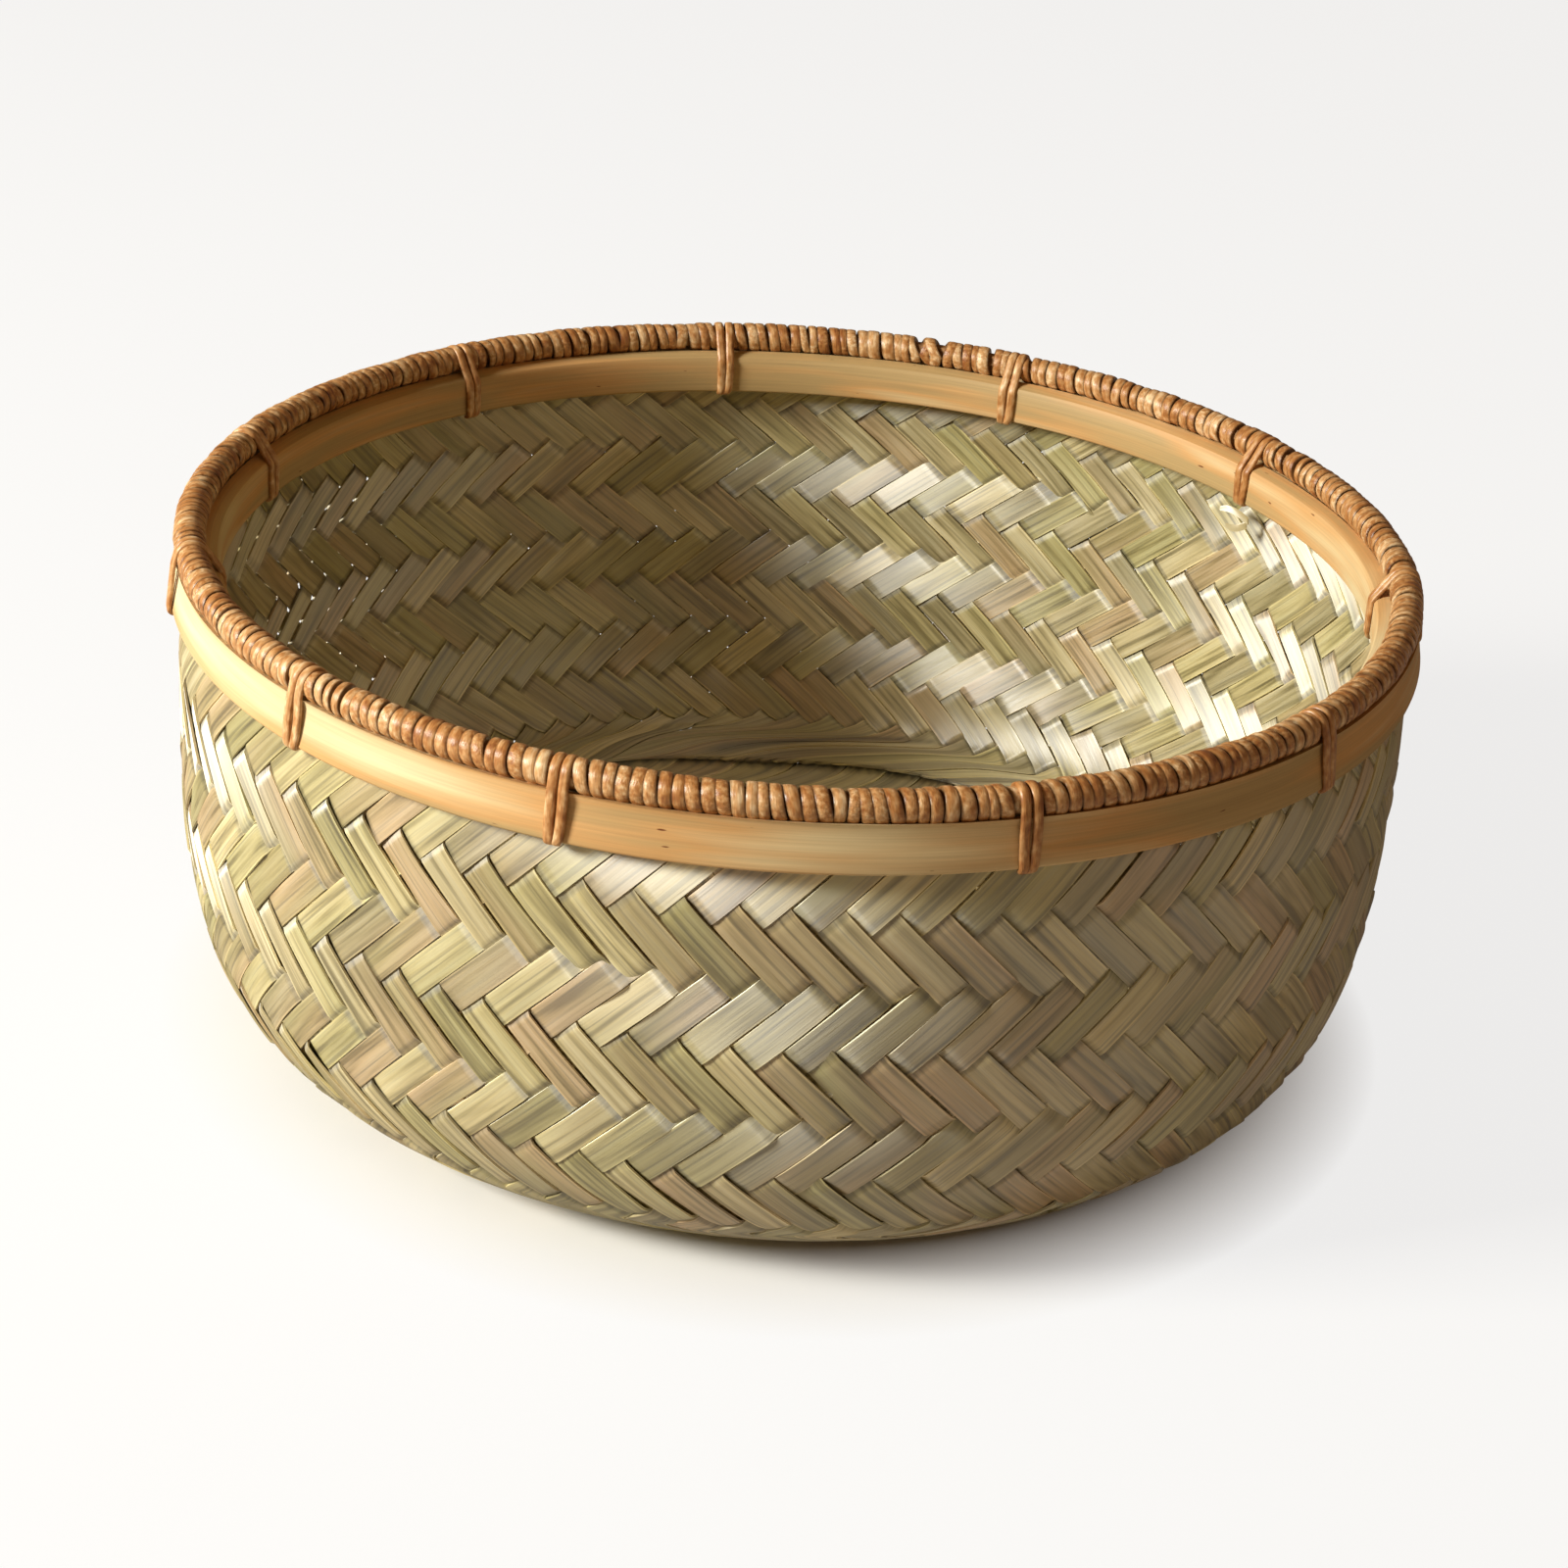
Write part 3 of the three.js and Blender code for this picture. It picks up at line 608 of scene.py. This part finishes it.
def scarfed_ring(section, scarf_degrees):
    """A section of radius and height carried once round the axis, a little out of round as bent
    bamboo is. Its ends slope along the ring by the scarf's length from its inner face to its outer."""
    inner = section[:, 0].min()
    breadth = np.ptp(section[:, 0])
    depth = (section[:, 0] - inner) / breadth
    gap = clearance * math.hypot(scarf_length, breadth) / breadth / inner
    start = math.radians(scarf_degrees) - scarf_length / inner / 2
    turn = start + np.linspace(0, 2 * math.pi - gap, hoop_steps)[:, None] + depth * scarf_length / inner
    radius = section[:, 0] + out_of_round * (np.sin(3 * turn + 1) + 0.6 * np.sin(7 * turn))
    height = section[:, 1] + out_of_level * np.sin(5 * turn + 2) + rim_height
    points = np.stack([radius * np.cos(turn), radius * np.sin(turn), height], axis=-1)[None]
    run = np.cumsum(np.hypot(*np.diff(np.vstack([section[:1], section]), axis=0).T))
    uv = np.stack([turn * inner, np.broadcast_to(run, turn.shape)], axis=-1)[None]
    return points, uv


def hoop_section(node, facing, lean, reach, touch):
    """A flat band with eased edges on the side away from the weave, from the node's own box. Its
    top is tucked in against the bound ring, in a quarter of an ellipse, so that no ledge shows
    between them. It meets the ring so far from the ring's middle and so far below it, by an angle."""
    low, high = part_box(node)
    top, bottom = high.z - rim_height, low.z - rim_height
    away = max(high.x, -low.x, high.y, -low.y)
    seat = away - hoop_thickness - lean if facing > 0 else away
    face = seat + facing * hoop_thickness
    ease = np.linspace(0, math.pi / 2, 4)
    ring_side = rim_radius + facing * reach * math.cos(touch)
    tucked = -reach * math.sin(touch)
    top_edge = np.stack([ring_side + (face - ring_side) * np.sin(ease),
                         tucked - tuck_fall * (1 - np.cos(ease))], axis=1)
    bottom_edge = np.stack([face + lean - facing * hoop_edge * (1 - np.sin(ease)),
                            bottom + hoop_edge * (1 - np.cos(ease))], axis=1)[::-1]
    middle = 0.5 * (top_edge[-1] + bottom_edge[0])
    seats = np.array([[seat + lean, bottom], [seat, top]])
    return np.vstack([top_edge, middle[None], bottom_edge, seats])


# Planed split bamboo, cream and nearly matt, with fine straight grain and a few dark flecks where
# skin was left on. Each hoop's colour is painted darker and browner towards one side, as painted shade.
planed_bamboo, tree, shader = new_material("planed_split_bamboo", 0.6)
grain_at = strand_vector(tree, 45, 0.5, "hoop_tone", 50)[0]
grain = add(tree, "ShaderNodeTexNoise", {"Vector": grain_at, "Scale": 1.0, "Detail": 4.0, "Roughness": 0.65})
patch_at = strand_vector(tree, 70, 7, "hoop_tone", 20)[0]
patches = add(tree, "ShaderNodeTexNoise", {"Vector": patch_at, "Scale": 1.0, "Detail": 2.0})
fleck_at = strand_vector(tree, 5, 1.2, "hoop_tone", 70)[0]
flecks = add(tree, "ShaderNodeTexNoise", {"Vector": fleck_at, "Scale": 1.0, "Detail": 1.0})
# Painted shade: darker and browner towards one side of the hoop
painted_side_shade = add(tree, "ShaderNodeAttribute", attribute_name="hoop_side_shade")
lighter = add(tree, "ShaderNodeMath", {0: patches.outputs["Fac"], 1: painted_side_shade.outputs["Fac"]},
              operation="SUBTRACT")
cream = add(tree, "ShaderNodeValToRGB", {"Fac": lighter.outputs[0]}, stops=[
    (0.1, "bd9f6c"), (0.22, "d5a56a"), (0.42, "dfc899"), (0.65, "ecdcb4")])
fleck = add(tree, "ShaderNodeValToRGB", {"Fac": flecks.outputs["Fac"]}, stops=[
    (0.76, "ffffff"), (0.8, "8a5a30")])
flecked = add(tree, "ShaderNodeMix", {"Factor": 1.0, 6: cream.outputs["Color"], 7: fleck.outputs["Color"]},
              data_type="RGBA", blend_type="MULTIPLY")
streak = add(tree, "ShaderNodeMapRange", {"Value": grain.outputs["Fac"], "To Min": 0.68, "To Max": 1.28})
tree.links.new(times(tree, flecked.outputs[2], streak.outputs[0]), shader.inputs["Base Color"])
relief = add(tree, "ShaderNodeBump", {"Height": grain.outputs["Fac"], "Strength": 0.35,
                                      "Distance": 0.1 * MM})
tree.links.new(relief.outputs[0], shader.inputs["Normal"])

# For each hoop: the way it faces, how far it leans out at the bottom to follow the weave, how far from
# the ring's middle it meets the binding and how far round, where its scarf is, where its painted shade
# is deepest, in degrees, and how deep it is
hoops = {}
for node, facing, lean, reach, touch, scarf, shaded_side, shade_depth in (
        ("outer_hoop", 1, 1.34 * MM, 3.75 * MM, 34, 100, -40, 0.3),
        ("inner_hoop", -1, 0.0, 3.4 * MM, 50, -70, 100, 0.38)):
    section = hoop_section(node, facing, lean, reach, math.radians(touch))
    hoops[node] = section
    points, uv = scarfed_ring(section, scarf)
    tone = np.full(points.shape[:3], 0.3 + 0.3 * facing)
    # How much painted shade, deepest on the given side of the hoop
    from_side = np.arctan2(points[..., 1], points[..., 0]) - math.radians(shaded_side)
    side_shade = shade_depth * 0.5 * (1 + np.cos(from_side))
    hoop = mesh_piece(node + "_planed", points, tube_faces(1, hoop_steps, len(section)), planed_bamboo,
                      {"hoop_tone": tone, "hoop_side_shade": side_shade}, uv)
    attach(hoop, "root")
    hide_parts(node)


# The ring on top of the weave's cut edge is peeled round rattan, matt and brown. Its CAD solid stays,
# and shows only as a trace between the turns of its binding.
peeled_rattan, tree, shader = new_material("peeled_round_rattan", 0.75)
spot = add(tree, "ShaderNodeTexCoord")
pores = add(tree, "ShaderNodeTexNoise", {"Vector": spot.outputs["Object"], "Scale": 1 / (1.5 * MM),
                                         "Detail": 3.0})
pith = add(tree, "ShaderNodeValToRGB", {"Fac": pores.outputs["Fac"]}, stops=[
    (0.35, "7a5330"), (0.65, "a57a4c")])
tree.links.new(pith.outputs["Color"], shader.inputs["Base Color"])
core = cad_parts["rim_core"]
core.data.materials.clear()
core.data.materials.append(peeled_rattan)


# The ring is bound with one long flat rattan peel, some 315 turns. Each turn lies against the last
# and bulges over the core like a bead. Where a tie crosses the ring, it presses the turns down.
peel_turns = 315
peel_steps = 20  # along a turn
peel_start = 67  # degrees
peel_height = 3.22 * MM  # from the middle of the ring to the outside of a turn
peel_crown = 0.27 * MM  # how far a turn's middle stands above its edges
peel_section = [(-0.5, None), (0.0, None), (0.5, None), (0.5, 0.0), (0.38, 0.72), (0.0, 1.0),
                (-0.38, 0.72), (-0.5, 0.0)]  # shares of the width, and of the crown: none lies inside
tie_angles = [-165, -135, -108, -70, -38, -2, 34, 67, 100, 131, 165]
tie_bed = 0.75 * MM  # how deep it presses them down
bed_reach = 2.6 * MM  # and how far to each side
loose_places = [(29, 4.5), (-149, 1.5), (-131, 1.5), (176, 3.0)]  # degrees and half width
loose_narrowing = 0.26  # how much narrower the turns are there
splice = 77  # degrees: there the turns cross each other and are uneven
splice_reach = 4.5 * MM


def degrees_apart(angle, degrees):
    """The angle between, in radians, from minus to plus half a turn."""
    return (angle - np.radians(degrees) + math.pi) % (2 * math.pi) - math.pi


def bound_peel(turns, seed):
    """The peel's crowned section carried round the core as it goes once round the rim. The way
    round the core turns evenly. The way round the rim gains one turn's place each time, more or
    less, and the peel is as wide as its neighbours leave it."""
    random = np.random.default_rng(seed)
    steps = turns * peel_steps + 1
    wound = np.linspace(0, turns, steps)
    pitch = 2 * math.pi / turns
    knots = np.arange(turns + 2)

    def uneven(spread):
        """A value that differs by so much from turn to turn, with straight changes between."""
        return np.interp(wound, knots, random.normal(0, spread, turns + 2))

    places = knots + np.clip(random.normal(0, 0.16, turns + 2), -0.3, 0.3)
    places[[0, -2, -1]] = knots[[0, -2, -1]]
    around = math.radians(peel_start) + pitch * np.interp(wound, knots, places)
    spacing = np.interp(wound, knots, np.gradient(places))
    narrow = np.interp(wound, knots, np.where(random.uniform(0, 1, turns + 2) < 0.16, 0.86, 1.0))
    for degrees, reach in loose_places:
        from_place = degrees_apart(around, degrees) / math.radians(reach)
        narrow = narrow - loose_narrowing * np.exp(-from_place ** 2)
    width = pitch * rim_radius * spacing * (1.0 + uneven(0.02)) * narrow
    from_tie = np.abs(degrees_apart(around[:, None], tie_angles)).min(axis=1)
    pressed = np.exp(-(from_tie * rim_radius / bed_reach) ** 4)
    spliced = np.exp(-(degrees_apart(around, splice) * rim_radius / splice_reach) ** 4)
    crown = peel_height + uneven(0.13) * MM - tie_bed * pressed + uneven(0.25) * MM * spliced
    slant = uneven(0.16) + 0.5 * spliced * np.where(wound % 2 < 1, 1, -1)
    inside = core_radius + 0.1 * MM
    shoulder = np.maximum(crown - peel_crown, inside + 0.1 * MM)
    heading = -2 * math.pi * wound + math.pi
    points = []
    aside = []
    for sideways, rise in peel_section:
        out = inside if rise is None else shoulder + (crown - shoulder) * rise
        place = around + (sideways * width + slant * width * np.sin(heading)) / rim_radius
        radius = rim_radius + out * np.cos(heading)
        height = rim_height + out * np.sin(heading)
        points.append(np.stack([radius * np.cos(place), radius * np.sin(place), height], axis=-1))
        aside.append(np.broadcast_to(sideways * pitch * rim_radius, wound.shape))
    grid = (1, steps, len(peel_section))
    along = np.broadcast_to((wound * 2 * math.pi * 3 * MM)[:, None], grid[1:])
    uv = np.stack([along, np.stack(aside, axis=1)], axis=-1)
    tone = np.interp(wound, knots, random.uniform(0, 1, turns + 2))
    return np.stack(points, axis=1), uv, np.broadcast_to(tone[None, :, None], grid), grid


# Rattan peel, the glossy skin of the cane: caramel brown, mottled and finely lined along its length.
# The palest blotches of the mottle are partly painted highlights, and the colour is darkened as
# painted shade in the grooves between turns.
rattan_peel, tree, shader = new_material("rattan_peel", 0.36)
line_at, across, tone = strand_vector(tree, 4, 0.34, "peel_tone", 60)
lines = add(tree, "ShaderNodeTexNoise", {"Vector": line_at, "Scale": 1.0, "Detail": 3.0, "Roughness": 0.6})
blotch_at = strand_vector(tree, 2.2, 1.1, "peel_tone", 30)[0]
blotches = add(tree, "ShaderNodeTexNoise", {"Vector": blotch_at, "Scale": 1.0, "Detail": 2.0})
# Real mottling, whose palest blotches partly stand for painted highlights
mottle_and_highlights = add(tree, "ShaderNodeMapRange", {"Value": blotches.outputs["Fac"], "To Min": -0.8, "To Max": 0.8})
turn_tone = add(tree, "ShaderNodeMapRange", {"Value": tone, "To Min": 0.25, "To Max": 0.75})
own_tone = add(tree, "ShaderNodeMath", {0: turn_tone.outputs[0], 1: mottle_and_highlights.outputs[0]}, operation="ADD")
caramel = add(tree, "ShaderNodeValToRGB", {"Fac": own_tone.outputs[0]}, stops=[
    (0.0, "8e5429"), (0.35, "b47b45"), (0.65, "d0a06c"), (1.0, "f2d2a6")])
from_middle = add(tree, "ShaderNodeMath", {0: across}, operation="ABSOLUTE")
# Painted shade in the grooves between turns, towards the edges of a peel or cane
groove = add(tree, "ShaderNodeMapRange", {"Value": from_middle.outputs[0], "From Min": 0.8 * MM,
                                          "From Max": 1.2 * MM, "To Min": 1.0, "To Max": 0.4})
streak = add(tree, "ShaderNodeMapRange", {"Value": lines.outputs["Fac"], "To Min": 0.55, "To Max": 1.45})
shade = add(tree, "ShaderNodeMath", {0: streak.outputs[0], 1: groove.outputs[0]}, operation="MULTIPLY")
tree.links.new(times(tree, caramel.outputs["Color"], shade.outputs[0]), shader.inputs["Base Color"])
relief = add(tree, "ShaderNodeBump", {"Height": lines.outputs["Fac"], "Strength": 0.7,
                                      "Distance": 0.16 * MM})
tree.links.new(relief.outputs[0], shader.inputs["Normal"])

points, uv, tone, grid = bound_peel(peel_turns, seed=21)
binding = mesh_piece("rim_binding_peel", points, tube_faces(*grid), rattan_peel,
                     {"peel_tone": tone}, uv, sharp=50)
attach(binding, "root")
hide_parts("rim_binding")


# Eleven ties of split cane lash ring, hoops and weave together. Each strand goes twice round the
# bundle, side by side, and passes through the weave just under the hoops. The cane is flat and sinks
# in among the turns of the binding.
cane_width = 1.9 * MM
cane_thickness = 0.8 * MM
cane_section = [(-0.47, -0.5), (0.0, -0.5), (0.47, -0.5), (0.5, 0.0), (0.4, 0.36), (0.15, 0.5),
                (-0.15, 0.5), (-0.4, 0.36), (-0.5, 0.0), (-0.5, -0.3)]  # widths and thicknesses
bed_radius = 3.2 * MM - tie_bed
loop_pitch = 2.25 * MM
loop_steps = 84
tie_bow = {-135: 0.5 * MM}  # ties whose loops are bowed apart more than the others
usual_bow = 0.1 * MM
tie_stray = 0.12 * MM  # how far a strand wanders sideways
tie_slack = 0.1 * MM  # how far it lies off the bundle


def at_angle(radius, aside, height, degrees):
    """Points at a radius and so far aside from it, turned about the axis by so many degrees."""
    turn = math.radians(degrees)
    return np.stack([radius * math.cos(turn) - aside * math.sin(turn),
                     radius * math.sin(turn) + aside * math.cos(turn), height], axis=-1)


def tie_strand(degrees, bow, seed):
    """One strand, carried round the farthest points of ring and hoops in each direction, as a taut
    strand lies. Its second loop lies a pitch beside the first, and it shifts over near the end of
    the first. Under the rim the loops come closer together, or are bowed apart."""
    random = np.random.default_rng(seed)
    headings = np.linspace(-math.pi / 2, 1.5 * math.pi, 181)
    direction = np.stack([np.cos(headings), np.sin(headings)], axis=1)
    hoop_points = np.vstack([hoops["outer_hoop"], hoops["inner_hoop"]])
    reach = hoop_points @ direction.T
    farthest = hoop_points[np.argmax(reach, axis=0)]
    ring = np.array([rim_radius, 0.0])
    ring_reach = direction @ ring + bed_radius
    taut = np.where((ring_reach > reach.max(axis=0))[:, None], ring + bed_radius * direction, farthest)
    path = taut + direction * (tie_slack + cane_thickness / 2)
    run = np.concatenate([[0], np.cumsum(np.linalg.norm(np.diff(path, axis=0), axis=1))])
    share = np.linspace(0, 1, loop_steps, endpoint=False)
    loops = np.concatenate([share, 1 + share, [2.0]])
    at = (loops % 1.0) * run[-1]
    at[-1] = run[-1]
    radius = np.interp(at, run, path[:, 0])
    height = np.interp(at, run, path[:, 1])
    way = np.interp(at, run, headings)
    side = smoothstep((loops - 0.93) / 0.14) * 2 - 1
    spread = loop_pitch / 2 * (1 + 0.22 * np.clip(height / (8 * MM), -1.3, 0))
    sag = bow * np.sin(np.clip((-height - 1 * MM) / (11 * MM), 0, 1) * math.pi)
    stray = tie_stray * np.sin(loops * 2 * math.pi * 1.3 + random.uniform(0, 6))
    sideways = side * (spread + sag) + stray
    points = [at_angle(radius + rise * cane_thickness * np.cos(way), sideways + aside * cane_width,
                       rim_height + height + rise * cane_thickness * np.sin(way), degrees)
              for aside, rise in cane_section]
    grid = (1, len(loops), len(cane_section))
    along = np.broadcast_to((loops * run[-1])[:, None], grid[1:])
    across = np.broadcast_to([aside * cane_width for aside, _ in cane_section], grid[1:])
    tone = np.full(grid, random.uniform(0.2, 0.8))
    return np.stack(points, axis=1), np.stack([along, across], axis=-1), tone, grid


for i, degrees in enumerate(tie_angles):
    points, uv, tone, grid = tie_strand(degrees, tie_bow.get(degrees, usual_bow), seed=40 + i)
    tie = mesh_piece(f"tie_{i + 1:02d}_cane", points, tube_faces(*grid), rattan_peel,
                     {"peel_tone": tone}, uv, sharp=50)
    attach(tie, "root")
    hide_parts(f"tie_{i + 1:02d}")


# Under the tie at 34 degrees a bamboo strip's end was left standing out below the inner hoop. It has
# split in two thin tails, which curl away from the weave and taper. The splits are as pale as the
# palest strips.
end_degrees = 34
end_width = 1.4 * MM
end_thickness = 0.6 * MM
end_section = [(-1, -0.2), (0, -0.3), (1, -0.2), (1, 0.2), (0, 0.3), (-1, 0.2)]  # half widths, thicknesses
end_share = np.linspace(0, 1, 9)
tails = [(1.6, 6.6, -1.7), (-1.2, 3.6, -1.3)]  # how far each turns up, reaches and starts aside, in mm
for part, (turn_up, reach, start) in enumerate(tails):
    radius = rim_radius - (4.2 + 3.5 * end_share - 0.8 * end_share ** 2) * MM
    along = (start + reach * end_share) * MM
    height = rim_height - (15.6 + 1.1 * part - turn_up * np.sin(end_share * 2.4)) * MM
    half_width = end_width / 2 * (1 - 0.5 * end_share ** 3)
    points = [at_angle(radius + rise * end_thickness, along + 0.3 * aside * half_width,
                       height + aside * half_width + rise * end_thickness, end_degrees)
              for aside, rise in end_section]
    grid = (1, len(end_share), len(end_section))
    uv = np.stack([np.broadcast_to(end_share[:, None] * 9 * MM, grid[1:]), np.zeros(grid[1:])], axis=-1)
    loose_end = mesh_piece(f"loose_strip_end_{part + 1}", np.stack(points, axis=1), tube_faces(*grid),
                           plaited_bamboo, {"strip_tone": np.ones(grid)}, uv)
    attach(loose_end, "root")
    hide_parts("woven_bowl")
